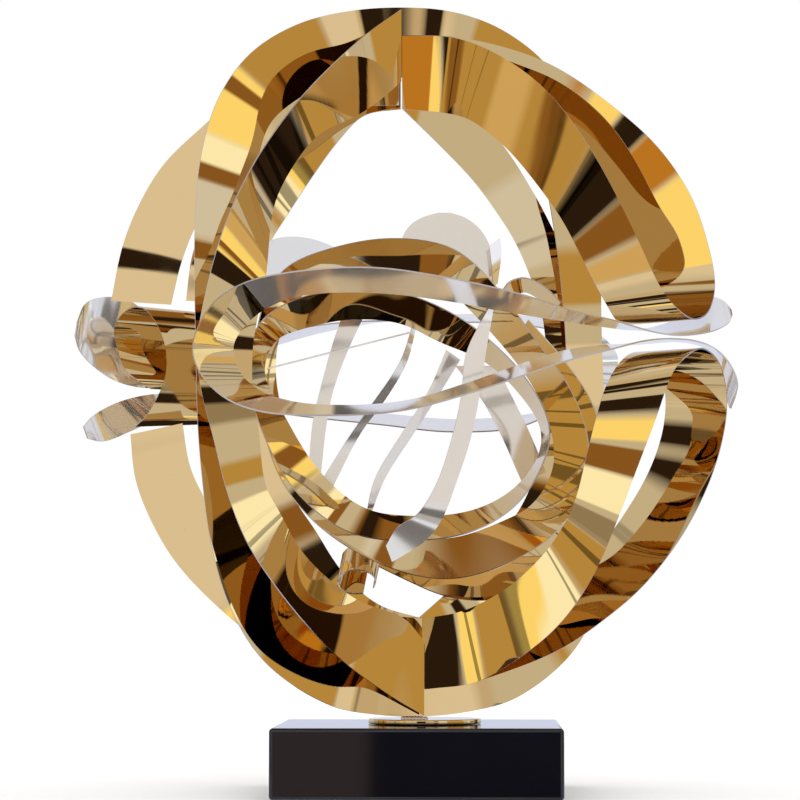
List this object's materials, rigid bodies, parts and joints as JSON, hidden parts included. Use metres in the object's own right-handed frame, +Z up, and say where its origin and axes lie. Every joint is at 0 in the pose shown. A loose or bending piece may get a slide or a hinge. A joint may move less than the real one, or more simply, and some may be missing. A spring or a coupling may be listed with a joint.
{
  "type": "abstract metal sculpture",
  "caption": "Ball of bent, mirror-polished gilt sheet ribbons with nested inner rings, fixed by a round disc to a square gloss black block.",
  "frame": {"origin": "middle of the block's underside", "axes": "+Z up, -Y to the front, where the long eye ring is, +X to the right as seen from the front"},
  "size_m": [0.6745, 0.6306, 0.7843],
  "materials": {
    "gilt_sheet": "mirror polish",
    "bright_sheet": "mirror polish",
    "black_block": "high gloss"
  },
  "bodies": {
    "root": {"plinth_block": "black_block", "mounting_disc": "gilt_sheet", "front_left_hoop": "gilt_sheet", "upper_right_loop": "gilt_sheet", "lower_right_loop": "gilt_sheet", "tall_arch": "gilt_sheet", "front_eye_ring": "bright_sheet", "rear_eye_ring": "bright_sheet", "rear_right_hoop": "gilt_sheet", "rear_left_arch_upper": "gilt_sheet", "rear_left_arch_lower": "gilt_sheet", "rear_middle_arch_upper": "gilt_sheet", "rear_middle_arch_lower": "gilt_sheet", "left_curl": "gilt_sheet", "egg_ring": "gilt_sheet", "brow_ring": "gilt_sheet", "dark_arc": "gilt_sheet", "hanging_strip_a": "bright_sheet", "hanging_strip_b": "bright_sheet", "hanging_strip_c": "bright_sheet", "hanging_strip_d": "bright_sheet", "hanging_strip_e": "bright_sheet", "small_low_roll": "gilt_sheet", "thin_rod": "bright_sheet", "tall_lobe": "bright_sheet", "low_lobe": "bright_sheet", "small_brow_curl": "gilt_sheet", "leaf": "bright_sheet"}
  },
  "joints": []
}
